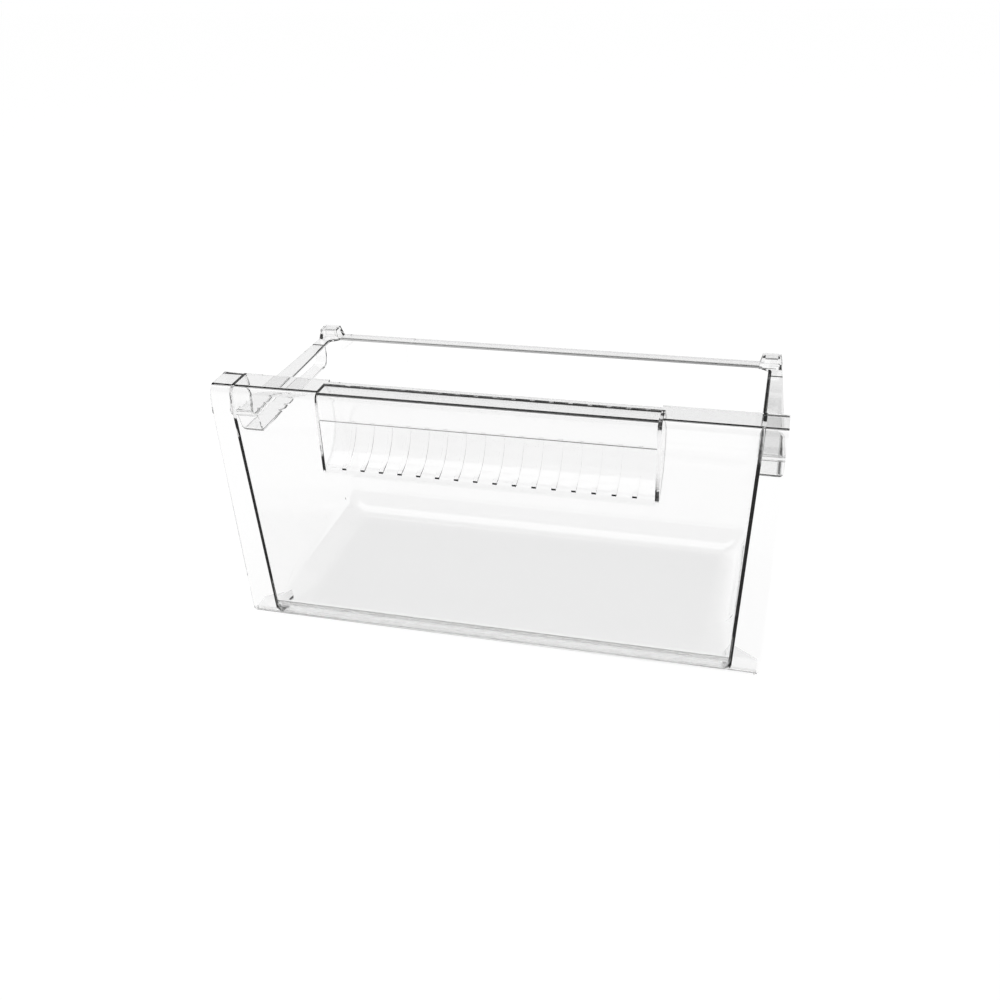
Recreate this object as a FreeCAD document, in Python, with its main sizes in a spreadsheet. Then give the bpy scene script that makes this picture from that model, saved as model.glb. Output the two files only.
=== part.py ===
import FreeCAD, Part
import os

import Sketcher

# Clear freezer drawer: a thin-walled basket, open above, behind a taller and wider front.
# X runs to the right of someone facing the front, Y from the front to the back, Z up.
# The origin is on the surface the drawer stands on, at the middle of its length and width.

# Driving dimensions, in millimetres and degrees.
SIZES = {
    # overall
    "overall_width": 446,
    "overall_depth": 212,
    "overall_height": 217.2,
    "wall_thickness": 2.8,
    # front panel: a face that leans in a little towards its foot, a soft brow and a flat top rail
    "face_lean": 2.7,
    "brow_drop": 21.2,
    "brow_depth": 8.6,
    "brow_radius": 7,
    "rail_depth": 29.5,
    "foot_taper": 4,
    "panel_corner_radius": 4,
    # basket
    "wing_width": 25.7,
    "rear_inset": 17.5,
    "wall_draft": 2.6,
    "bend_radius": 24,
    "bend_run": 62,
    "corner_radius": 11,
    "crease_radius": 1,
    "floor_fillet": 10,
    "rim_drop": 37.7,
    # cheeks: the raised front ends of the side walls, up to the rail
    "cheek_bulge_radius": 42,
    "cheek_fillet": 5,
    # rim flange round the basket
    "rim_thickness": 2.4,
    "rim_inset": 0.5,
    "rim_taper": 8.8,
    "rim_corner_radius": 5,
    "rim_bead_depth": 3,
    # runner ribbons under the side flanges
    "runner_front": 35,
    "runner_inset": 28,
    "runner_depth": 20,
    "runner_thickness": 2.2,
    "runner_lean": 4,
    "runner_nose_radius": 4,
    "runner_heel_radius": 10,
    "runner_edge_radius": 6,
    # grip: a lip over a mouth, with a round finger recess behind
    "grip_width": 269,
    "lip_drop": 22,
    "lip_radius": 5,
    "lip_depth": 26,
    "recess_radius": 34.3,
    "recess_drop": 30.5,
    "recess_lead": 1.3,
    "mouth_radius": 6,
    # ribs on the recess wall
    "rib_count": 16,
    "rib_width": 3.6,
    "rib_height": 1.2,
    "rib_tip_height": 0.3,
    "rib_start": 2.5,
    "rib_drop": 6,
    # rear stops, on the back corners of the rim
    "stop_height": 9.8,
    "stop_width": 19.5,
    "stop_length": 16,
    "stop_inset": 1.2,
    "stop_ramp": 2.5,
    "stop_draft": 1.5,
    # webs that tie the foot of each wing to the basket
    "web_thickness": 2,
    "web_margin": 2,
    "web_edge_length": 16.5,
    "web_wall_length": 30.7,
    "web_root_length": 18,
    "web_root_near": 1.8,
    "web_root_far": 7.8,
}

# Values worked out from the driving dimensions.
PLACES = {
    "front_face": "-Sizes.overall_depth / 2",
    "rear_edge": "Sizes.overall_depth / 2",
    "half_wide": "Sizes.overall_width / 2",
    "rail_under": "Sizes.overall_height - Sizes.wall_thickness",
    "brow_foot": "Sizes.overall_height - Sizes.brow_drop",
    "brow_top": "Places.front_face + Sizes.brow_depth",
    "brow_rise": "Sizes.brow_drop - Sizes.brow_radius",
    "brow_long_radius": "(Sizes.brow_depth ^ 2 + Places.brow_rise ^ 2 - Sizes.brow_radius ^ 2)"
                        " / (2 * (Sizes.brow_depth - Sizes.brow_radius))",
    "brow_gap": "Places.brow_long_radius - Sizes.brow_radius",
    "brow_turn": "(Places.brow_long_radius - Sizes.brow_depth) / Places.brow_gap",
    "brow_lift": "Places.brow_rise / Places.brow_gap",
    "face_behind": "Places.front_face + Sizes.wall_thickness",
    "foot_behind": "Places.face_behind + Sizes.face_lean",
    "rail_back": "Places.front_face + Sizes.rail_depth",
    "slope": "tan(Sizes.wall_draft)",
    "skew": "Sizes.wall_thickness / cos(Sizes.wall_draft)",
    "half_foot": "Places.half_wide - Sizes.foot_taper",
    "half_floor": "Places.half_wide - Sizes.wing_width",
    "floor_back": "Places.rear_edge - Sizes.rear_inset",
    "half_cavity": "Places.half_floor + Sizes.wall_thickness * Places.slope - Places.skew",
    "cavity_back": "Places.floor_back + Sizes.wall_thickness * Places.slope - Places.skew",
    "tangent_share": "tan(45 - Sizes.wall_draft / 2)",
    "bend_end": "Places.front_face + Sizes.bend_run",
    "block_start": "Places.front_face + Sizes.bend_run / 2",
    "rim_height": "Sizes.overall_height - Sizes.rim_drop",
    "rim_under": "Places.rim_height - Sizes.rim_thickness",
    "rim_front": "Places.half_wide - Sizes.rim_inset",
    "rim_rear": "Places.rim_front - Sizes.rim_taper",
    "rim_inside": "Places.half_floor + Places.rim_under * Places.slope - Places.skew",
    "rim_inside_back": "Places.floor_back + Places.rim_under * Places.slope - Places.skew",
    "cavity_bend": "Sizes.bend_radius - Sizes.wall_thickness",
    "cavity_corner": "Sizes.corner_radius - Sizes.wall_thickness",
    "runner_nose": "Places.front_face + Sizes.runner_front",
    "runner_heel": "Places.rear_edge - Sizes.runner_inset",
    "runner_foot": "Places.rim_height - Sizes.runner_depth",
    "half_grip": "Sizes.grip_width / 2",
    "half_lip": "Places.half_grip - Sizes.wall_thickness",
    "lip_foot": "Sizes.overall_height - Sizes.lip_drop",
    "lip_back": "Places.front_face + Sizes.lip_depth",
    "recess_level": "Sizes.overall_height - Sizes.recess_drop",
    "recess_axis": "Places.front_face - Sizes.recess_lead",
    "recess_outside": "Sizes.recess_radius + Sizes.wall_thickness",
    "mouth_low": "Places.recess_level - Sizes.recess_radius - Sizes.mouth_radius",
    "mouth_face": "Places.front_face + Sizes.face_lean * (1 - Places.mouth_low / Places.brow_foot)",
    "mouth_centre": "Places.mouth_face + Sizes.mouth_radius",
    "mouth_reach": "Places.mouth_centre - Places.recess_axis",
    "mouth_swing": "Sizes.recess_radius + Sizes.mouth_radius",
    "mouth_across": "Places.mouth_reach / Places.mouth_swing",
    "mouth_down": "sqrt(1 - Places.mouth_across ^ 2)",
    "mouth_bottom": "Places.recess_level - Places.mouth_swing * Places.mouth_down",
    "mouth_behind": "Places.mouth_face + Sizes.wall_thickness",
    "rib_crest": "Sizes.recess_radius - Sizes.rib_height",
    "rib_tip": "Sizes.recess_radius - Sizes.rib_tip_height",
    "rib_foot": "Places.front_face + Sizes.rib_start",
    "rib_pitch": "2 * Places.half_lip / (Sizes.rib_count + 1)",
    "rib_top": "Places.recess_level - Sizes.rib_drop",
    "stop_side": "Places.rim_rear",
    "stop_back": "Places.rear_edge - Sizes.stop_inset",
    "stop_top": "Places.rim_height + Sizes.stop_height",
}

SLACK = 30  # how far a cutting block runs past what it cuts

doc = FreeCAD.newDocument("freezer_drawer")


def fill_sheet(name, cells):
    """Fill a sheet: names in column A, contents in column B, with each name as its cell's alias."""
    sheet = doc.addObject("Spreadsheet::Sheet", name)
    for row, (alias, content) in enumerate(cells.items(), start=1):
        sheet.set(f"A{row}", alias)
        sheet.set(f"B{row}", str(content))
        sheet.setAlias(f"B{row}", alias)
    return sheet


sizes = fill_sheet("Sizes", SIZES)
places = fill_sheet("Places", {name: "=" + rule for name, rule in PLACES.items()})
doc.recompute()


def value(rule):
    """What an expression on the two sheets comes to, as a number."""
    return float(sizes.evalExpression(str(rule)))


def bind(thing, prop, rule):
    """Tie a property to an expression on the two sheets."""
    thing.setExpression(prop, str(rule))


# Outlines. An outline is a list of stretches, each given by the point it starts at. A straight
# stretch has no radius; a round one has a radius and the side it turns to.
def line(across, up):
    return across, up, None, 0


def left_arc(across, up, radius):
    return across, up, radius, 1


def right_arc(across, up, radius):
    return across, up, radius, -1


def arc_between(start, end, radius, side):
    """The shorter arc from start to end, turning left (side 1) or right (side -1)."""
    chord = end - start
    middle = (start + end) / 2
    reach = max(radius ** 2 - (chord.Length / 2) ** 2, 0) ** 0.5
    across = FreeCAD.Vector(-chord.y, chord.x, 0).normalize()
    centre = middle + across * (reach * side)
    up = FreeCAD.Vector(0, 0, 1)
    circle = Part.Circle(centre, up, radius)
    first, last = (start, end) if side > 0 else (end, start)
    return Part.ArcOfCircle(circle, circle.parameter(first), circle.parameter(last))


def pin(sketch, where, point, across, up):
    """Hold one end of a stretch at a place given by two expressions."""
    for kind, rule in (("DistanceX", across), ("DistanceY", up)):
        index = sketch.addConstraint(Sketcher.Constraint(kind, -1, 1, where, point, value(rule)))
        bind(sketch, f"Constraints[{index}]", rule)


def draw(sketch, outline):
    """Draw one closed outline, with its corners and radii tied to the sheets."""
    base = len(sketch.Geometry)
    count = len(outline)
    corners = [FreeCAD.Vector(value(across), value(up), 0) for across, up, _, _ in outline]
    for index, (_, _, radius, side) in enumerate(outline):
        start = corners[index]
        end = corners[(index + 1) % count]
        if radius is None:
            sketch.addGeometry(Part.LineSegment(start, end))
        else:
            sketch.addGeometry(arc_between(start, end, value(radius), side))
    for index, (across, up, radius, side) in enumerate(outline):
        following = (index + 1) % count
        tail = 1 if side < 0 else 2
        head = 2 if outline[following][3] < 0 else 1
        sketch.addConstraint(Sketcher.Constraint("Coincident", base + index, tail, base + following, head))
        pin(sketch, base + index, 2 if side < 0 else 1, across, up)
        if radius is not None:
            rule = Sketcher.Constraint("Radius", base + index, value(radius))
            bind(sketch, f"Constraints[{sketch.addConstraint(rule)}]", radius)


def new_body(name):
    return doc.addObject("PartDesign::Body", name)


def new_sketch(body, name, plane, outlines, level="0"):
    """A sketch on one of the body's own planes, level millimetres along the plane's normal."""
    sketch = body.newObject("Sketcher::SketchObject", name)
    support = [feature for feature in body.Origin.OriginFeatures if feature.Role == plane][0]
    sketch.AttachmentSupport = [(support, "")]
    sketch.MapMode = "FlatFace"
    bind(sketch, "AttachmentOffset.Base.z", level)
    for outline in outlines:
        draw(sketch, outline)
    return sketch


def add_pad(body, sketch, length, both_ways=False):
    pad = body.newObject("PartDesign::Pad", sketch.Name + "_pad")
    pad.Profile = sketch
    pad.SideType = "Symmetric" if both_ways else "One side"
    bind(pad, "Length", length)
    doc.recompute()
    return pad


def add_pocket(body, sketch, both_ways=True):
    """Cut a sketch's outlines right through the body, and make sure that something was cut."""
    before = body.Tip.Shape.Volume
    pocket = body.newObject("PartDesign::Pocket", sketch.Name + "_pocket")
    pocket.Profile = sketch
    pocket.Type = "ThroughAll"
    pocket.SideType = "Symmetric" if both_ways else "One side"
    doc.recompute()
    if not pocket.Shape.Volume < before:
        raise RuntimeError(f"{pocket.Name} cuts nothing")
    return pocket


def prism(name, plane, outlines, length, level="0", both_ways=False):
    """A body that is one outline drawn out straight."""
    body = new_body(name)
    add_pad(body, new_sketch(body, name + "_outline", plane, outlines, level), length, both_ways)
    return body


def combine(kind, name, *parts):
    """A boolean of whole parts: Cut takes the second from the first, MultiFuse and MultiCommon take all."""
    result = doc.addObject("Part::" + kind, name)
    if kind == "Cut":
        result.Base, result.Tool = parts
    else:
        result.Shapes = list(parts)
        result.Refine = True
    doc.recompute()
    return result


def mirrored(name, source):
    """The left-hand twin of a right-hand part."""
    twin = doc.addObject("Part::Mirroring", name)
    twin.Source = source
    twin.Normal = FreeCAD.Vector(1, 0, 0)
    doc.recompute()
    return twin


def flip(outline):
    """The same outline on the other side of the upright middle line."""
    return [(f"-({across})", up, radius, -side) for across, up, radius, side in outline]


def brow_joint(long_radius):
    """Where the brow's long arc of that radius meets its short one, as depth and height."""
    return (f"Places.front_face + Places.brow_long_radius - ({long_radius}) * Places.brow_turn",
            f"Places.brow_foot + ({long_radius}) * Places.brow_lift")


def brow():
    """The brow's two arcs, from the face's upper end to the rail."""
    return [
        right_arc("Places.front_face", "Places.brow_foot", "Places.brow_long_radius"),
        right_arc(*brow_joint("Places.brow_long_radius"), "Sizes.brow_radius"),
    ]


def brow_inside():
    """The brow's inner surface, from under the rail down to the face."""
    inner_long = "Places.brow_long_radius - Sizes.wall_thickness"
    return [
        left_arc("Places.brow_top", "Places.rail_under", "Sizes.brow_radius - Sizes.wall_thickness"),
        left_arc(*brow_joint(inner_long), inner_long),
    ]


def front_side_profile():
    """Cross-section of the panel and its rail, seen from the right."""
    return [
        line("Places.front_face + Sizes.face_lean", "0"),
        *brow(),
        line("Places.brow_top", "Sizes.overall_height"),
        line("Places.rail_back", "Sizes.overall_height"),
        line("Places.rail_back", "Places.rail_under"),
        *brow_inside(),
        line("Places.face_behind", "Places.brow_foot"),
        line("Places.foot_behind", "0"),
    ]


def side_trim():
    """What is taken off the panel's right edge: a taper towards the foot and a rounded corner."""
    foot = "Places.half_foot"
    radius = "Sizes.panel_corner_radius"
    beyond = f"Places.half_wide + {SLACK}"
    return [
        left_arc(f"{foot} - {radius}", "0", radius),
        line(foot, radius),
        line("Places.half_wide", "Places.brow_foot"),
        line(beyond, "Places.brow_foot"),
        line(beyond, f"-{SLACK}"),
        line(f"{foot} - {radius}", f"-{SLACK}"),
    ]


def make_front_panel():
    body = new_body("front_panel")
    section = new_sketch(body, "panel_section", "YZ_Plane", [front_side_profile()])
    add_pad(body, section, "Sizes.overall_width", both_ways=True)
    edges = new_sketch(body, "panel_edges", "XZ_Plane", [side_trim(), flip(side_trim())])
    add_pocket(body, edges)
    above = f"Sizes.overall_height + {SLACK}"
    mouth = [
        line("-Places.half_grip", "Places.mouth_bottom"),
        line("Places.half_grip", "Places.mouth_bottom"),
        line("Places.half_grip", above),
        line("-Places.half_grip", above),
    ]
    add_pocket(body, new_sketch(body, "panel_mouth", "XZ_Plane", [mouth]))
    return body


def make_front_space():
    """Everything in front of the panel's rear face and brow, as a cutting block."""
    before = f"Places.front_face - {SLACK}"
    above = f"Sizes.overall_height + {SLACK}"
    outline = [
        line(before, f"-{SLACK}"),
        line(before, above),
        line("Places.brow_top", above),
        *brow_inside(),
        line("Places.face_behind", "Places.brow_foot"),
        line("Places.foot_behind", "0"),
        line("Places.foot_behind", f"-{SLACK}"),
    ]
    return prism("front_space", "YZ_Plane", [outline], "Sizes.overall_width", both_ways=True)


def tub_section(half, level, radius):
    """Cross-section of the basket seen from the front, with rounded corners along the floor."""
    reach = f"({radius}) * Places.tangent_share"
    side = f"{half} + {reach} * sin(Sizes.wall_draft)"
    up = f"{level} + {reach} * cos(Sizes.wall_draft)"
    top = "Places.rail_under"
    top_side = f"{half} + ({top} - {level}) * Places.slope"
    return [
        line(f"-({half} - {reach})", level),
        left_arc(f"{half} - {reach}", level, radius),
        line(side, up),
        line(top_side, top),
        line(f"-({top_side})", top),
        left_arc(f"-({side})", up, radius),
    ]


def make_tub_solid(name, half, back, level, front_radius, radius, corner):
    """A solid tub: a front length whose floor bends open out, and a rear block with round corners."""
    holder = new_body(name + "_front")
    ends = []
    for end, place, bend in (("near", "Places.front_face", front_radius), ("far", "Places.bend_end", radius)):
        section = tub_section(half, level, bend)
        ends.append(new_sketch(holder, f"{name}_{end}", "XZ_Plane", [section], f"-({place})"))
    doc.recompute()
    loft = holder.newObject("PartDesign::AdditiveLoft", name + "_loft")
    loft.Profile = ends[0]
    loft.Sections = [ends[1]]
    loft.Ruled = True
    doc.recompute()

    spread = f"(Places.rail_under - {level}) * Places.slope"
    front_outline = [
        line(f"-({half})", level),
        line(half, level),
        line(f"{half} + {spread}", "Places.rail_under"),
        line(f"-({half} + {spread})", "Places.rail_under"),
    ]
    side_outline = [
        line("Places.block_start", level),
        line(back, level),
        line(f"{back} + {spread}", "Places.rail_under"),
        line("Places.block_start", "Places.rail_under"),
    ]
    front_view = prism(name + "_front_view", "XZ_Plane", [front_outline], "2 * Sizes.overall_depth",
                       both_ways=True)
    side_view = prism(name + "_side_view", "YZ_Plane", [side_outline], "Sizes.overall_width",
                      both_ways=True)
    block = combine("MultiCommon", name + "_block", front_view, side_view)
    rounded = doc.addObject("Part::Fillet", name + "_bends")
    rounded.Base = block
    rounded.Edges = outer_bends(block.Shape, value(radius), value(corner))
    ahead = [
        line("-Sizes.overall_width", f"Places.front_face - {SLACK}"),
        line("Sizes.overall_width", f"Places.front_face - {SLACK}"),
        line("Sizes.overall_width", "Places.bend_end"),
        line("-Sizes.overall_width", "Places.bend_end"),
    ]
    front_block = prism(name + "_ahead", "XY_Plane", [ahead], "4 * Sizes.overall_height",
                        both_ways=True)
    rear = combine("Cut", name + "_rear_end", rounded, front_block)
    return combine("MultiFuse", name, holder, rear)


def outer_bends(shape, bend, corner):
    """A block's bottom edges at the sides and back, and its two upright back edges, with their radii."""
    box = shape.BoundBox
    chosen = []
    for index, edge in enumerate(shape.Edges, start=1):
        middle = edge.CenterOfMass
        low = edge.BoundBox.ZMax < box.ZMin + 1
        upright = edge.BoundBox.ZLength > box.ZLength / 2
        front = middle.y < box.YMin + box.YLength / 3 and edge.BoundBox.YLength < box.YLength / 2
        if front or not (low or upright):
            continue
        radius = corner if upright else bend
        chosen.append((index, radius, radius))
    return chosen


# Where the cheek's bulge meets the fillet that runs out to the rim, as depth and height.
CHEEK_WAIST = ("Places.runner_nose - Sizes.cheek_fillet", "Places.rim_height + Sizes.cheek_fillet")


def make_basket(front_space):
    outside = make_tub_solid("tub_outside", "Places.half_floor", "Places.floor_back", "0",
                             "(Sizes.crease_radius + Sizes.wall_thickness)", "Sizes.bend_radius",
                             "Sizes.corner_radius")
    cavity = make_tub_solid("tub_cavity", "Places.half_cavity", "Places.cavity_back",
                            "Sizes.wall_thickness", "Sizes.crease_radius", "Places.cavity_bend",
                            "Places.cavity_corner")
    shell = combine("Cut", "tub_shell", outside, cavity)
    open_front = combine("Cut", "tub_open_front", shell, front_space)
    low, turn = "Sizes.wall_thickness", "Sizes.floor_fillet"
    corner = [
        line("Places.front_face", "0"),
        line(f"Places.foot_behind + {turn}", "0"),
        right_arc(f"Places.foot_behind + {turn}", low, turn),
        line("Places.foot_behind", f"{low} + {turn}"),
        line("Places.front_face", f"{low} + {turn}"),
    ]
    strip = prism("floor_fillet_strip", "YZ_Plane", [corner], "Sizes.overall_width", both_ways=True)
    inside_strip = combine("MultiCommon", "floor_fillet_inside", strip, cavity)
    fillet = combine("Cut", "floor_fillet", inside_strip, front_space)
    above = f"Sizes.overall_height + {SLACK}"
    beyond = f"Places.rear_edge + {SLACK}"
    cheek_back = [
        line("Places.rail_back", above),
        right_arc("Places.rail_back", "Places.rail_under", "Sizes.cheek_bulge_radius"),
        left_arc(*CHEEK_WAIST, "Sizes.cheek_fillet"),
        line("Places.runner_nose", "Places.rim_height"),
        line("Places.runner_nose", "Places.rim_under"),
        line(beyond, "Places.rim_under"),
        line(beyond, above),
    ]
    above_rim = prism("above_rim", "YZ_Plane", [cheek_back], "Sizes.overall_width", both_ways=True)
    walls = combine("Cut", "basket_walls", open_front, above_rim)
    basket = combine("MultiFuse", "basket", walls, fillet)
    return basket, outside


def make_rim(stop_hollow):
    inside = "Places.rim_inside"
    corner = "Places.cavity_corner"
    back = "Places.rim_inside_back"
    outer = "Places.rim_rear"
    turn = "Sizes.rim_corner_radius"
    half = [
        line("Places.rim_front", "Places.runner_nose"),
        left_arc(outer, f"Places.rear_edge - {turn}", turn),
        line(f"{outer} - {turn}", "Places.rear_edge"),
    ]
    outline = half + [
        left_arc(f"-({outer} - {turn})", "Places.rear_edge", turn),
        line(f"-({outer})", f"Places.rear_edge - {turn}"),
        line("-Places.rim_front", "Places.runner_nose"),
        line(f"-{inside}", "Places.runner_nose"),
        right_arc(f"-{inside}", f"{back} - {corner}", corner),
        line(f"-({inside} - {corner})", back),
        right_arc(f"{inside} - {corner}", back, corner),
        line(inside, f"{back} - {corner}"),
        line(inside, "Places.runner_nose"),
    ]
    flange = prism("rim_flange", "XY_Plane", [outline], "Sizes.rim_thickness", "Places.rim_under")
    near = "Places.rear_edge - Sizes.rim_thickness"
    bead_outline = [
        line(f"-({outer} - {turn})", near),
        line(f"{outer} - {turn}", near),
        line(f"{outer} - {turn}", "Places.rear_edge"),
        line(f"-({outer} - {turn})", "Places.rear_edge"),
    ]
    bead = prism("rim_bead", "XY_Plane", [bead_outline], "Sizes.rim_bead_depth",
                 "Places.rim_under - Sizes.rim_bead_depth")
    whole = combine("MultiFuse", "rim_whole", flange, bead)
    right_open = combine("Cut", "rim_right_open", whole, stop_hollow)
    return combine("Cut", "rim", right_open, mirrored("stop_hollow_left", stop_hollow))


def make_wing_back(outside):
    """The right-hand closing plate behind a wing: it drops from the rail and turns out into the rim."""
    thick = "Sizes.rim_thickness"
    waist_back, waist_height = CHEEK_WAIST
    sheet = [
        line(f"Places.rail_back - {thick}", "Places.rail_under"),
        right_arc("Places.rail_back", "Places.rail_under", "Sizes.cheek_bulge_radius"),
        left_arc(waist_back, waist_height, "Sizes.cheek_fillet"),
        line("Places.runner_nose", "Places.rim_height"),
        right_arc("Places.runner_nose", "Places.rim_under", f"Sizes.cheek_fillet + {thick}"),
        left_arc(f"{waist_back} - {thick}", waist_height, f"Sizes.cheek_bulge_radius - {thick}"),
    ]
    plate = prism("wing_back_sheet", "YZ_Plane", [sheet], "Places.rim_front")
    return combine("Cut", "wing_back_right", plate, outside)


def make_runner(outside):
    """The right-hand ribbon: a nose, a long lower run and a heel, hung under the side flange."""
    nose, heel, foot, top = "Places.runner_nose", "Places.runner_heel", "Places.runner_foot", "Places.rim_under"
    thick = "Sizes.runner_thickness"
    front_radius, rear_radius = "Sizes.runner_nose_radius", "Sizes.runner_heel_radius"
    front = f"{nose} + Sizes.runner_lean"
    ribbon = [
        line(nose, top),
        left_arc(front, f"{foot} + {front_radius}", front_radius),
        line(f"{front} + {front_radius}", foot),
        left_arc(f"{heel} - {rear_radius}", foot, rear_radius),
        line(heel, f"{foot} + {rear_radius}"),
        line(heel, top),
        line(f"{heel} - {thick}", top),
        right_arc(f"{heel} - {thick}", f"{foot} + {rear_radius}", f"{rear_radius} - {thick}"),
        line(f"{heel} - {rear_radius}", f"{foot} + {thick}"),
        right_arc(f"{front} + {front_radius}", f"{foot} + {thick}", f"{front_radius} - {thick}"),
        line(f"{front} + {thick}", f"{foot} + {front_radius}"),
        line(f"{nose} + {thick}", top),
    ]
    side_view = prism("runner_side_view", "YZ_Plane", [ribbon], "Places.half_wide")
    round_edge = "Sizes.runner_edge_radius"
    front_outline = [
        line("0", foot),
        left_arc(f"Places.rim_front - {round_edge}", foot, round_edge),
        line("Places.rim_front", f"{foot} + {round_edge}"),
        line("Places.rim_front", top),
        line("0", top),
    ]
    front_view = prism("runner_front_view", "XZ_Plane", [front_outline], "2 * Sizes.overall_depth",
                       both_ways=True)
    plan_outline = [
        line("0", nose),
        line("Places.rim_front", nose),
        line("Places.rim_rear", "Places.rear_edge"),
        line("0", "Places.rear_edge"),
    ]
    plan_view = prism("runner_plan_view", "XY_Plane", [plan_outline], "Places.rim_height")
    whole = combine("MultiCommon", "runner_whole", side_view, front_view, plan_view)
    return combine("Cut", "runner_right", whole, outside)


def stop_block(name, inward, base):
    """The rear stop's outer shape from the base up, drawn in from all its other sides."""
    top = f"Places.stop_top - {inward}"
    inner, outer = f"Places.stop_side - Sizes.stop_width + {inward}", f"Places.stop_side - {inward}"
    near, far = f"Places.stop_back - Sizes.stop_length + {inward}", f"Places.stop_back - {inward}"
    front_outline = [
        line(inner, base),
        line(outer, base),
        line(f"{outer} - Sizes.stop_draft", top),
        line(f"{inner} + Sizes.stop_ramp", top),
    ]
    side_outline = [
        line(near, base),
        line(far, base),
        line(f"{far} - 2 * Sizes.stop_draft", top),
        line(f"{near} + Sizes.stop_draft", top),
    ]
    front_view = prism(name + "_front_view", "XZ_Plane", [front_outline], "2 * Sizes.overall_depth",
                       both_ways=True)
    side_view = prism(name + "_side_view", "YZ_Plane", [side_outline], "Places.half_wide")
    return combine("MultiCommon", name, front_view, side_view)


def make_rear_stop(hollow):
    """The right-hand stop: a cap whose inner side ramps down to the rim, hollow and open below."""
    return combine("Cut", "rear_stop_right", stop_block("stop_cap", "0", "Places.rim_height"), hollow)


def make_wing_web(outside, front_space):
    """The right-hand web: a flat plate level with the floor, between the wing's foot and the basket."""
    start = "Places.foot_behind"
    edge = "Places.half_foot - Sizes.web_margin"
    plan = [
        line("Places.half_floor - Sizes.web_root_near", "Places.front_face"),
        line(edge, "Places.front_face"),
        line(edge, f"{start} + Sizes.web_edge_length"),
        line("Places.half_floor", f"{start} + Sizes.web_wall_length"),
        line("Places.half_floor - Sizes.web_root_far", f"{start} + Sizes.web_root_length"),
    ]
    plate = prism("web_plate", "XY_Plane", [plan], "Sizes.web_thickness")
    trimmed = combine("Cut", "web_trimmed", plate, outside)
    return combine("Cut", "wing_web_right", trimmed, front_space)


def make_grip():
    """The lip, the round recess wall with its ribs, and the two end walls."""
    top = "Sizes.overall_height"
    thick = "Sizes.wall_thickness"
    lip_outline = [
        line("Places.front_face", "Places.lip_foot"),
        right_arc("Places.front_face", f"{top} - Sizes.lip_radius", "Sizes.lip_radius"),
        line("Places.front_face + Sizes.lip_radius", top),
        line("Places.lip_back", top),
        line("Places.lip_back", "Places.rail_under"),
        left_arc("Places.front_face + Sizes.lip_radius", "Places.rail_under",
                 f"Sizes.lip_radius - {thick}"),
        line("Places.face_behind", f"{top} - Sizes.lip_radius"),
        line("Places.face_behind", "Places.lip_foot"),
    ]
    lip = prism("grip_lip", "YZ_Plane", [lip_outline], "2 * Places.half_lip", both_ways=True)
    wall = prism("recess_wall", "YZ_Plane", [recess_section()], "2 * Places.half_lip", both_ways=True)
    recess = combine("MultiFuse", "grip_recess", wall, make_ribs())
    end_right = prism("grip_end_right", "YZ_Plane", [grip_end_section()], thick, "Places.half_lip")
    return [lip, recess, end_right, mirrored("grip_end_left", end_right)]


def on_swing(radius):
    """Where the mouth's round edge meets the recess's round wall, on the circle of that radius."""
    return (f"Places.recess_axis + ({radius}) * Places.mouth_across",
            f"Places.recess_level - ({radius}) * Places.mouth_down")


def under_lip(radius):
    """Where a circle round the recess's axis reaches the underside of the lip's plate."""
    rise = "Places.rail_under - Places.recess_level"
    return f"Places.recess_axis + sqrt(({radius}) ^ 2 - ({rise}) ^ 2)", "Places.rail_under"


def recess_back():
    """The far side of the recess wall, from under the lip's plate down and round into the panel."""
    return [
        right_arc(*under_lip("Places.recess_outside"), "Places.recess_outside"),
        left_arc(*on_swing("Places.recess_outside"), "Sizes.mouth_radius - Sizes.wall_thickness"),
        line("Places.mouth_behind", "Places.mouth_bottom"),
    ]


def recess_section():
    """Cross-section of the recess wall: over the mouth's round edge, round the fingers, up to the lip."""
    return [
        right_arc("Places.mouth_face", "Places.mouth_bottom", "Sizes.mouth_radius"),
        left_arc(*on_swing("Sizes.recess_radius"), "Sizes.recess_radius"),
        line(*under_lip("Sizes.recess_radius")),
        *recess_back(),
    ]


def grip_end_section():
    """Outline of an end wall: the panel's face and brow in front, the recess wall's far side behind."""
    return [
        line("Places.mouth_face", "Places.mouth_bottom"),
        *brow(),
        line("Places.brow_top", "Sizes.overall_height"),
        line("Places.rail_back", "Sizes.overall_height"),
        line("Places.rail_back", "Places.rail_under"),
        *recess_back(),
    ]


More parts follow.
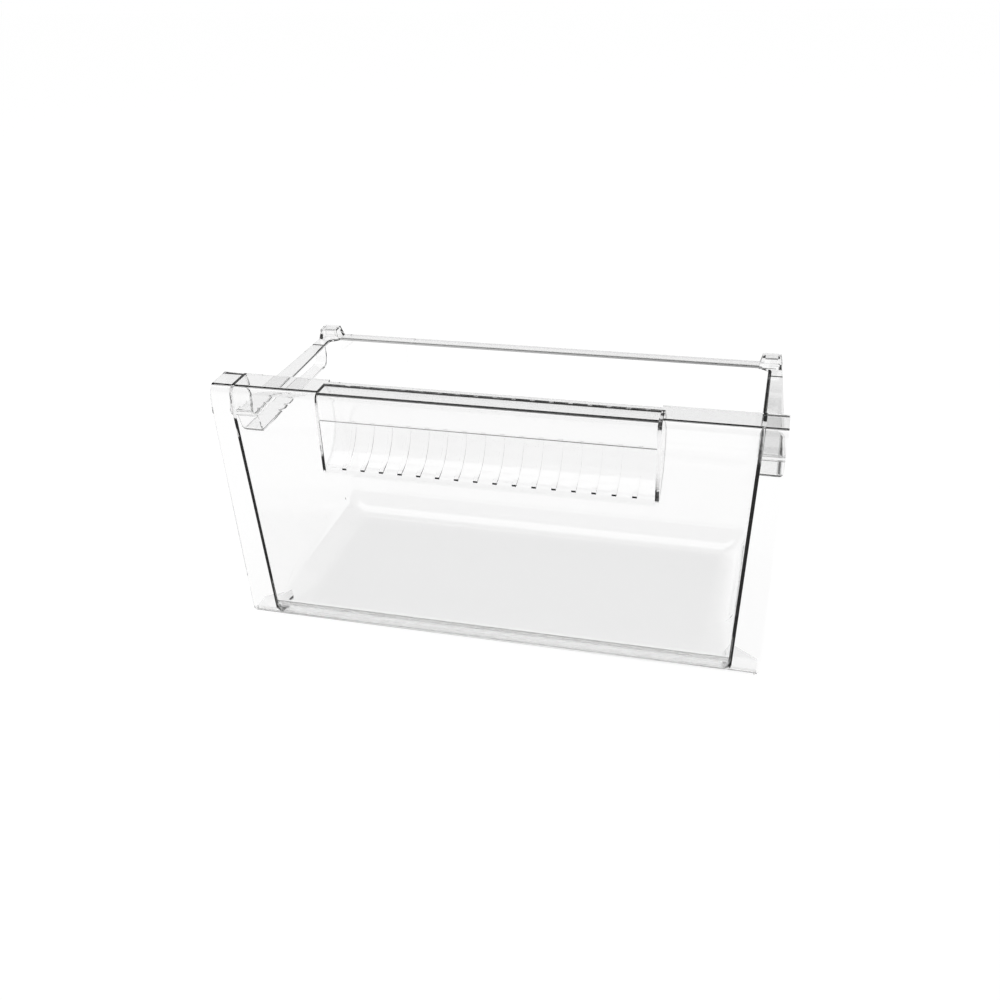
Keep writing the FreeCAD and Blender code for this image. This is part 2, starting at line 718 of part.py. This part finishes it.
def make_ribs():
    """A row of low ribs up the recess wall, highest at the foot, evenly spaced between the end walls."""
    def foot(radius):
        run = "Places.mouth_centre - Places.rib_foot"
        return "Places.rib_foot", f"Places.mouth_bottom + sqrt(({radius}) ^ 2 - ({run}) ^ 2)"

    def tip(radius):
        return f"Places.recess_axis + sqrt(({radius}) ^ 2 - Sizes.rib_drop ^ 2)", "Places.rib_top"

    body = new_body("grip_ribs")
    over_mouth = "Sizes.mouth_radius + Sizes.rib_height"
    outline = [
        right_arc(*foot("Sizes.mouth_radius"), "Sizes.mouth_radius"),
        left_arc(*on_swing("Sizes.recess_radius"), "Sizes.recess_radius"),
        line(*tip("Sizes.recess_radius")),
        right_arc(*tip("Places.rib_tip"), "Places.rib_crest"),
        left_arc(*on_swing("Places.rib_crest"), over_mouth),
        line(*foot(over_mouth)),
    ]
    first = "-Places.half_lip + Places.rib_pitch - Sizes.rib_width / 2"
    sketch = new_sketch(body, "rib_outline", "YZ_Plane", [outline], first)
    pad = add_pad(body, sketch, "Sizes.rib_width")
    pattern = body.newObject("PartDesign::LinearPattern", "rib_row")
    pattern.Originals = [pad]
    pattern.Direction = (sketch, ["N_Axis"])
    bind(pattern, "Length", "Places.rib_pitch * (Sizes.rib_count - 1)")
    bind(pattern, "Occurrences", "Sizes.rib_count")
    body.Tip = pattern
    doc.recompute()
    return body


def build():
    front_panel = make_front_panel()
    front_space = make_front_space()
    basket, outside = make_basket(front_space)
    runner = make_runner(outside)
    stop_hollow = stop_block("stop_hollow", "Sizes.rim_thickness", "Places.rim_under")
    stop = make_rear_stop(stop_hollow)
    web = make_wing_web(outside, front_space)
    wing_back = make_wing_back(outside)
    return [
        front_panel,
        basket,
        make_rim(stop_hollow),
        runner,
        mirrored("runner_left", runner),
        stop,
        mirrored("rear_stop_left", stop),
        web,
        mirrored("wing_web_left", web),
        wing_back,
        mirrored("wing_back_left", wing_back),
        *make_grip(),
    ]


def check_document():
    doc.recompute()
    for thing in doc.Objects:
        if "Invalid" in thing.State or "Error" in thing.State:
            raise RuntimeError(f"{thing.Name} failed: {thing.State}")


def export(parts):
    os.makedirs("parts", exist_ok=True)
    for part in parts:
        shape = part.Shape
        if shape.isNull() or not shape.isValid() or not shape.Solids:
            raise RuntimeError(f"{part.Name} has no valid solid")
        part.Label = part.Name
        shape.exportStep(f"parts/{part.Label}.step")
        box = shape.BoundBox
        print(f"{part.Label:18} solids {len(shape.Solids)}  volume {shape.Volume:9.0f}  "
              f"x {box.XMin:7.1f} {box.XMax:7.1f}  y {box.YMin:7.1f} {box.YMax:7.1f}  "
              f"z {box.ZMin:6.1f} {box.ZMax:6.1f}")


drawer = build()
check_document()
export(drawer)
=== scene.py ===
import math

import bmesh
import bpy
from bpy.props import FloatProperty, FloatVectorProperty, PointerProperty
from mathutils import Matrix, Vector


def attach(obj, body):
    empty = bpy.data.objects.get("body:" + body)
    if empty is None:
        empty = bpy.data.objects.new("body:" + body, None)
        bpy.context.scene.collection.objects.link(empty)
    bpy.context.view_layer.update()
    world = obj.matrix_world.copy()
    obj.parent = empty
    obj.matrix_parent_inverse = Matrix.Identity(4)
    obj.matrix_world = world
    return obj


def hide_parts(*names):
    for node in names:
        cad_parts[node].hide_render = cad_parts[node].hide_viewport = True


bl_info = {
    "name": "Clear freezer drawer",
    "version": (1, 0, 0),
    "blender": (4, 5, 0),
    "location": "View3D > Sidebar > Drawer",
    "description": "Looks, lighting and camera for a clear moulded freezer drawer",
    "category": "Object",
}

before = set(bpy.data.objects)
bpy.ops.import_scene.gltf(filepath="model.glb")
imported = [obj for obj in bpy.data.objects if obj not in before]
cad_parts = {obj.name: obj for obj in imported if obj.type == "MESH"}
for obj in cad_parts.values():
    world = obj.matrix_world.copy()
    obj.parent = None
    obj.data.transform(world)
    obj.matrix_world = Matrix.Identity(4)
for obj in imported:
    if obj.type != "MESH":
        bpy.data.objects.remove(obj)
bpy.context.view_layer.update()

MM = 0.001

# Corners closer together than this are one corner.
MERGE_DISTANCE = 0.002 * MM

# Faces that meet at less than this angle are shaded as one smooth surface.
SMOOTH_ANGLE = math.radians(30)

# The floor's flat underside: faces that look straight down, no further than this from the foot's level.
DOWNWARD = -0.99
FOOT_SLACK = 0.1 * MM

# The matt field under the floor, and the back edges of the two matt strips in front of it.
FIELD_HALF_WIDTH = 173 * MM
FIELD_BACK = 66 * MM
STRIP_BACK = -84 * MM
EDGE_BACK = -97 * MM

# Material slots of the field and the strips. Slot 0 is the clear plastic.
FIELD_SLOT = 1
STRIP_SLOT = 2
EDGE_SLOT = 3

# Camera, fitted to the drawer's edges in the photo.
CAMERA_PLACE = (0.213771, -0.822636, 0.573996)
CAMERA_YAW = 0.274
CAMERA_PITCH = -0.528
CAMERA_ROLL = -0.041
CAMERA_LENS = 40.07
CAMERA_SENSOR = 36

# How squarely a direction points at the middle of the bright side where it starts to brighten, and
# where it is fully bright. 1 is straight at it.
BRIGHT_FROM = 0.1
BRIGHT_FULL = 0.75

# How far the paper lies below the foot, so that the two never share a plane.
FLOOR_DROP = 0.5 * MM

# Strength of the paper's glow, so that its glowing and its lit shares together come to plain white.
FLOOR_WHITE = 1.29

# The soft light overhead: its size, and where its middle hangs.
SOFT_BOX_LENGTH = 1.6
SOFT_BOX_WIDTH = 1.2
SOFT_BOX_PLACE = (-0.2, 0.2, 1.6)


# Nodes and materials
def linear(hex_colour):
    """A colour written as sRGB hex, as linear red, green, blue and alpha."""
    values = [int(hex_colour[i:i + 2], 16) / 255 for i in (1, 3, 5)]
    return [v / 12.92 if v <= 0.04045 else ((v + 0.055) / 1.055) ** 2.4 for v in values] + [1.0]


def add_node(tree, kind, place, inputs=None, **settings):
    """Add a node at a place, set its properties, and fill or link its inputs by name."""
    node = tree.nodes.new(kind)
    node.location = place
    for key, value in settings.items():
        setattr(node, key, value)
    for key, value in (inputs or {}).items():
        if isinstance(value, bpy.types.NodeSocket):
            tree.links.new(value, node.inputs[key])
        else:
            node.inputs[key].default_value = value
    return node


def new_material(name):
    """An empty material and its node tree."""
    material = bpy.data.materials.new(name)
    material.use_nodes = True
    material.node_tree.nodes.clear()
    return material, material.node_tree


def polystyrene(look, name, roughness, ior):
    """Moulded polystyrene in one finish: a skin of that roughness over a faintly absorbing body."""
    material, tree = new_material(name)
    skin = add_node(tree, "ShaderNodeBsdfPrincipled", (0, 0), {
        "Base Color": linear("#FFFFFF"),
        "Roughness": roughness,
        "IOR": ior,
        "Transmission Weight": 1.0,
    })
    body = add_node(tree, "ShaderNodeVolumeAbsorption", (0, -400), {
        "Color": list(look.tint) + [1.0],
        "Density": look.absorption,
    })
    add_node(tree, "ShaderNodeOutputMaterial", (320, 0), {
        "Surface": skin.outputs["BSDF"],
        "Volume": body.outputs["Volume"],
    })
    return material


def finishes(look):
    """The moulding's finishes, in the order of its material slots."""
    return (
        # From a polished mould: clear walls, with thin dark lines where an edge bends the light.
        polystyrene(look, "clear_polystyrene", look.roughness, look.ior),
        # From a spark-eroded mould: a fine matt grain that blurs what lies under it to a pale grey.
        polystyrene(look, "frosted_polystyrene", look.frost, look.ior),
        # Matt strip in front of the field. Its index is set so low that it stays pale.
        polystyrene(look, "pressed_frosted_polystyrene", look.strip_frost, look.strip_ior),
        # Coarse strip along the front edge: it scatters the light to a soft grey band at the foot.
        polystyrene(look, "coarse_frosted_polystyrene", look.edge_frost, look.ior),
    )


# Shapes
def merged_copy(node):
    """A copy of a CAD node's mesh with its doubled corners merged, as an object of its own."""
    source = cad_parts[node]
    mesh = bpy.data.meshes.new(node + "_copy")
    work = bmesh.new()
    work.from_mesh(source.data)
    bmesh.ops.remove_doubles(work, verts=work.verts, dist=MERGE_DISTANCE)
    work.to_mesh(mesh)
    work.free()
    copy = bpy.data.objects.new(node + "_copy", mesh)
    bpy.context.scene.collection.objects.link(copy)
    return copy


def finished_mesh(thing, name):
    """A new mesh that is the object's mesh with its modifiers applied."""
    bpy.context.view_layer.update()
    evaluated = thing.evaluated_get(bpy.context.evaluated_depsgraph_get())
    mesh = bpy.data.meshes.new_from_object(evaluated)
    mesh.name = name
    return mesh


def weld(name, nodes):
    """One closed piece that is the union of copies of the CAD nodes."""
    copies = [merged_copy(node) for node in nodes]
    others = bpy.data.collections.new(name + "_parts")
    for copy in copies[1:]:
        others.objects.link(copy)
    union = copies[0].modifiers.new("union", "BOOLEAN")
    union.operation = "UNION"
    union.solver = "EXACT"
    union.operand_type = "COLLECTION"
    union.collection = others
    piece = bpy.data.objects.new(name, finished_mesh(copies[0], name))
    bpy.context.scene.collection.objects.link(piece)
    for copy in copies:
        bpy.data.objects.remove(copy)
    bpy.data.collections.remove(others)
    return piece


def smooth_by_angle(mesh):
    """Smooth shading, with the sharper edges left sharp."""
    work = bmesh.new()
    work.from_mesh(mesh)
    bmesh.ops.remove_doubles(work, verts=work.verts, dist=MERGE_DISTANCE)
    for face in work.faces:
        face.smooth = True
    for edge in work.edges:
        edge.smooth = edge.is_manifold and edge.calc_face_angle(0) < SMOOTH_ANGLE
    work.to_mesh(mesh)
    work.free()


def frost_floor(mesh):
    """Give the flat underside of the floor its matt field and the matt strips along the front edge."""
    work = bmesh.new()
    work.from_mesh(mesh)

    def underside():
        return [face for face in work.faces
                if face.normal.z < DOWNWARD and abs(face.calc_center_median().z) < FOOT_SLACK]

    cuts = (
        ((-FIELD_HALF_WIDTH, 0, 0), (1, 0, 0)),
        ((FIELD_HALF_WIDTH, 0, 0), (1, 0, 0)),
        ((0, STRIP_BACK, 0), (0, 1, 0)),
        ((0, EDGE_BACK, 0), (0, 1, 0)),
    )
    for place, normal in cuts:
        faces = underside()
        edges = {edge for face in faces for edge in face.edges}
        corners = {corner for face in faces for corner in face.verts}
        bmesh.ops.bisect_plane(work, geom=[*corners, *edges, *faces], dist=MERGE_DISTANCE,
                               plane_co=place, plane_no=normal)
    for face in underside():
        middle = face.calc_center_median()
        if middle.y < EDGE_BACK:
            face.material_index = EDGE_SLOT
        elif middle.y < STRIP_BACK:
            face.material_index = STRIP_SLOT
        elif abs(middle.x) < FIELD_HALF_WIDTH and middle.y < FIELD_BACK:
            face.material_index = FIELD_SLOT
    work.to_mesh(mesh)
    work.free()


def weight_normals(piece):
    """Let the large faces lead the shading at shared corners, so that flat walls refract as flat."""
    weighted = piece.modifiers.new("weighted", "WEIGHTED_NORMAL")
    weighted.mode = "FACE_AREA"
    weighted.keep_sharp = True
    mesh = finished_mesh(piece, piece.name)
    piece.modifiers.clear()
    piece.data = mesh


# Stage
def make_world(stage):
    """Bright low behind the drawer, and dim overhead and on the camera's side.

    That contrast draws the clear edges dark. The camera itself sees plain white."""
    world = bpy.data.worlds.new("studio")
    world.use_nodes = True
    bpy.context.scene.world = world
    tree = world.node_tree
    tree.nodes.clear()
    turn = CAMERA_YAW + stage.sky_turn
    bright = Vector((-math.sin(turn), math.cos(turn), stage.sky_lift)).normalized()
    direction = add_node(tree, "ShaderNodeTexCoord", (-900, 0))
    facing = add_node(tree, "ShaderNodeVectorMath", (-700, 0), {
        0: direction.outputs["Generated"],
        1: bright,
    }, operation="DOT_PRODUCT")
    share = add_node(tree, "ShaderNodeMapRange", (-500, 0), {
        "Value": facing.outputs["Value"],
        "From Min": BRIGHT_FROM,
        "From Max": BRIGHT_FULL,
        "To Min": stage.sides,
        "To Max": stage.backdrop,
    }, interpolation_type="SMOOTHSTEP")
    path = add_node(tree, "ShaderNodeLightPath", (-500, -300))
    strength = add_node(tree, "ShaderNodeMix", (-250, 0), {
        0: path.outputs["Is Camera Ray"],
        2: share.outputs["Result"],
        3: 1.0,
    }, data_type="FLOAT")
    light = add_node(tree, "ShaderNodeBackground", (0, 0), {
        "Color": linear("#FFFFFF"),
        "Strength": strength.outputs[0],
    })
    add_node(tree, "ShaderNodeOutputWorld", (220, 0), {"Surface": light.outputs["Background"]})


def white_paper(stage):
    """Matt white paper that also glows to the camera, to what is seen through the plastic and, less,
    to reflections. It shows as plain white there and keeps the drawer's shadow."""
    material, tree = new_material("white_paper")
    path = add_node(tree, "ShaderNodeLightPath", (-900, 200))
    direct = add_node(tree, "ShaderNodeMath", (-700, 200), {
        0: path.outputs["Is Camera Ray"],
        1: path.outputs["Is Transmission Ray"],
    }, operation="MAXIMUM")
    mirrored = add_node(tree, "ShaderNodeMath", (-700, 0), {
        0: path.outputs["Is Glossy Ray"],
        1: stage.floor_mirrored,
    }, operation="MULTIPLY")
    seen = add_node(tree, "ShaderNodeMath", (-520, 200), {
        0: direct.outputs["Value"],
        1: mirrored.outputs["Value"],
    }, operation="MAXIMUM")
    share = add_node(tree, "ShaderNodeMath", (-340, 200), {
        0: seen.outputs["Value"],
        1: stage.floor_glow,
    }, operation="MULTIPLY")
    paper = add_node(tree, "ShaderNodeBsdfDiffuse", (-340, 0), {"Color": linear("#F4F4F4")})
    glow = add_node(tree, "ShaderNodeEmission", (-340, -200), {
        "Color": linear("#FFFFFF"),
        "Strength": FLOOR_WHITE,
    })
    mix = add_node(tree, "ShaderNodeMixShader", (0, 0), {
        0: share.outputs["Value"],
        1: paper.outputs["BSDF"],
        2: glow.outputs["Emission"],
    })
    add_node(tree, "ShaderNodeOutputMaterial", (220, 0), {"Surface": mix.outputs["Shader"]})
    return material


def make_floor(stage):
    """One square of white paper under the drawer."""
    half = stage.floor_size / 2
    mesh = bpy.data.meshes.new("floor")
    work = bmesh.new()
    corners = [(-half, -half), (half, -half), (half, half), (-half, half)]
    work.faces.new([work.verts.new((x, y, -FLOOR_DROP)) for x, y in corners])
    work.to_mesh(mesh)
    work.free()
    mesh.materials.append(white_paper(stage))
    floor = bpy.data.objects.new("floor", mesh)
    bpy.context.scene.collection.objects.link(floor)


def make_lights(stage):
    """One wide soft light overhead, facing down."""
    data = bpy.data.lights.new("overhead_soft_box", "AREA")
    data.shape = "RECTANGLE"
    data.size = SOFT_BOX_LENGTH
    data.size_y = SOFT_BOX_WIDTH
    data.energy = stage.key_power
    lamp = bpy.data.objects.new("overhead_soft_box", data)
    lamp.location = SOFT_BOX_PLACE
    bpy.context.scene.collection.objects.link(lamp)


def camera_axes():
    """The camera's right, up and forward directions."""
    flat = math.cos(CAMERA_PITCH)
    forward = Vector((-math.sin(CAMERA_YAW) * flat, math.cos(CAMERA_YAW) * flat, math.sin(CAMERA_PITCH)))
    right = Vector((math.cos(CAMERA_YAW), math.sin(CAMERA_YAW), 0))
    up = right.cross(forward)
    turned_right = right * math.cos(CAMERA_ROLL) + up * math.sin(CAMERA_ROLL)
    turned_up = up * math.cos(CAMERA_ROLL) - right * math.sin(CAMERA_ROLL)
    return turned_right, turned_up, forward


def make_camera():
    """The camera where the photo was taken from."""
    right, up, forward = camera_axes()
    data = bpy.data.cameras.new("camera")
    data.sensor_width = CAMERA_SENSOR
    data.lens = CAMERA_LENS
    camera = bpy.data.objects.new("camera", data)
    turn = Matrix((right, up, -forward)).transposed().to_4x4()
    camera.matrix_world = Matrix.Translation(CAMERA_PLACE) @ turn
    bpy.context.scene.collection.objects.link(camera)
    bpy.context.scene.camera = camera


# Values that a user would change
class DrawerLook(bpy.types.PropertyGroup):
    """The plastic's optical values."""

    ior: FloatProperty(
        name="Index of refraction", description="How strongly the plastic bends light",
        default=1.59, min=1.3, max=1.8)
    roughness: FloatProperty(
        name="Roughness", description="Roughness of the polished skin",
        default=0.0, min=0.0, max=1.0, subtype="FACTOR")
    frost: FloatProperty(
        name="Frost", description="Roughness of the matt field under the floor",
        default=0.1, min=0.0, max=1.0, subtype="FACTOR")
    strip_frost: FloatProperty(
        name="Strip frost", description="Roughness of the matt strip in front of the field",
        default=0.5, min=0.0, max=1.0, subtype="FACTOR")
    strip_ior: FloatProperty(
        name="Strip index", description="Index of refraction of the matt strip in front of the field",
        default=1.0, min=1.0, max=1.8)
    edge_frost: FloatProperty(
        name="Edge frost", description="Roughness of the coarse strip along the front edge",
        default=1.0, min=0.0, max=1.0, subtype="FACTOR")
    absorption: FloatProperty(
        name="Absorption", description="Light lost per metre of plastic",
        default=2.0, min=0.0, max=200.0)
    tint: FloatVectorProperty(
        name="Tint", description="Colour of the light that the plastic passes",
        default=(0.0, 0.0, 0.0), min=0.0, max=1.0, subtype="COLOR")


class DrawerStage(bpy.types.PropertyGroup):
    """The floor and the light round the drawer."""

    backdrop: FloatProperty(
        name="Backdrop", description="Brightness of the bright side of the studio",
        default=1.0, min=0.0, max=5.0)
    sides: FloatProperty(
        name="Sides", description="Brightness of the rest of the studio",
        default=0.1, min=0.0, max=5.0)
    sky_lift: FloatProperty(
        name="Sky lift", description="How high the middle of the bright side lies, below 0 if it is low",
        default=-0.95, min=-2.0, max=2.0)
    sky_turn: FloatProperty(
        name="Sky turn", description="How far left of straight behind the drawer the bright side lies",
        default=0.35, min=-3.2, max=3.2, subtype="ANGLE")
    floor_size: FloatProperty(
        name="Floor size", description="Side of the pale floor",
        default=8.0, min=1.0, unit="LENGTH")
    floor_glow: FloatProperty(
        name="Floor glow", description="Share of the floor that shows as plain white",
        default=0.75, min=0.0, max=1.0, subtype="FACTOR")
    floor_mirrored: FloatProperty(
        name="Floor mirrored", description="How much of the glow a reflection shows",
        default=0.3, min=0.0, max=1.0, subtype="FACTOR")
    key_power: FloatProperty(
        name="Key light", description="Power of the soft light overhead",
        default=6.0, min=0.0, unit="POWER")


# Steps
class OBJECT_OT_drawer_moulding(bpy.types.Operator):
    """Weld the drawer's members into one clear moulding"""

    bl_idname = "object.drawer_moulding"
    bl_label = "Make moulding"

    def execute(self, context):
        names = sorted(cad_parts, key=lambda n: (n != "basket", n))
        piece = weld("moulding", names)
        smooth_by_angle(piece.data)
        piece.data.materials.clear()
        for material in finishes(context.scene.drawer_look):
            piece.data.materials.append(material)
        frost_floor(piece.data)
        weight_normals(piece)
        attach(piece, "root")
        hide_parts(*names)
        return {"FINISHED"}


class OBJECT_OT_drawer_stage(bpy.types.Operator):
    """Set up the pale floor, the soft light and the camera"""

    bl_idname = "object.drawer_stage"
    bl_label = "Make stage"

    def execute(self, context):
        stage = context.scene.drawer_stage
        make_world(stage)
        make_floor(stage)
        make_lights(stage)
        make_camera()
        context.scene.view_settings.view_transform = "Standard"
        return {"FINISHED"}


class VIEW3D_PT_drawer(bpy.types.Panel):
    """Sidebar panel with the drawer's values and steps"""

    bl_label = "Freezer drawer"
    bl_idname = "VIEW3D_PT_drawer"
    bl_space_type = "VIEW_3D"
    bl_region_type = "UI"
    bl_category = "Drawer"

    def draw(self, context):
        for group in (context.scene.drawer_look, context.scene.drawer_stage):
            for name in group.bl_rna.properties.keys():
                if name not in ("rna_type", "name"):
                    self.layout.prop(group, name)
        self.layout.operator(OBJECT_OT_drawer_moulding.bl_idname)
        self.layout.operator(OBJECT_OT_drawer_stage.bl_idname)


CLASSES = (
    DrawerLook,
    DrawerStage,
    OBJECT_OT_drawer_moulding,
    OBJECT_OT_drawer_stage,
    VIEW3D_PT_drawer,
)


def register():
    for cls in CLASSES:
        bpy.utils.register_class(cls)
    bpy.types.Scene.drawer_look = PointerProperty(type=DrawerLook)
    bpy.types.Scene.drawer_stage = PointerProperty(type=DrawerStage)


def unregister():
    del bpy.types.Scene.drawer_stage
    del bpy.types.Scene.drawer_look
    for cls in reversed(CLASSES):
        bpy.utils.unregister_class(cls)


def main():
    """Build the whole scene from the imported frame."""
    register()
    bpy.ops.object.drawer_moulding()
    bpy.ops.object.drawer_stage()


if __name__ == "__main__":
    main()
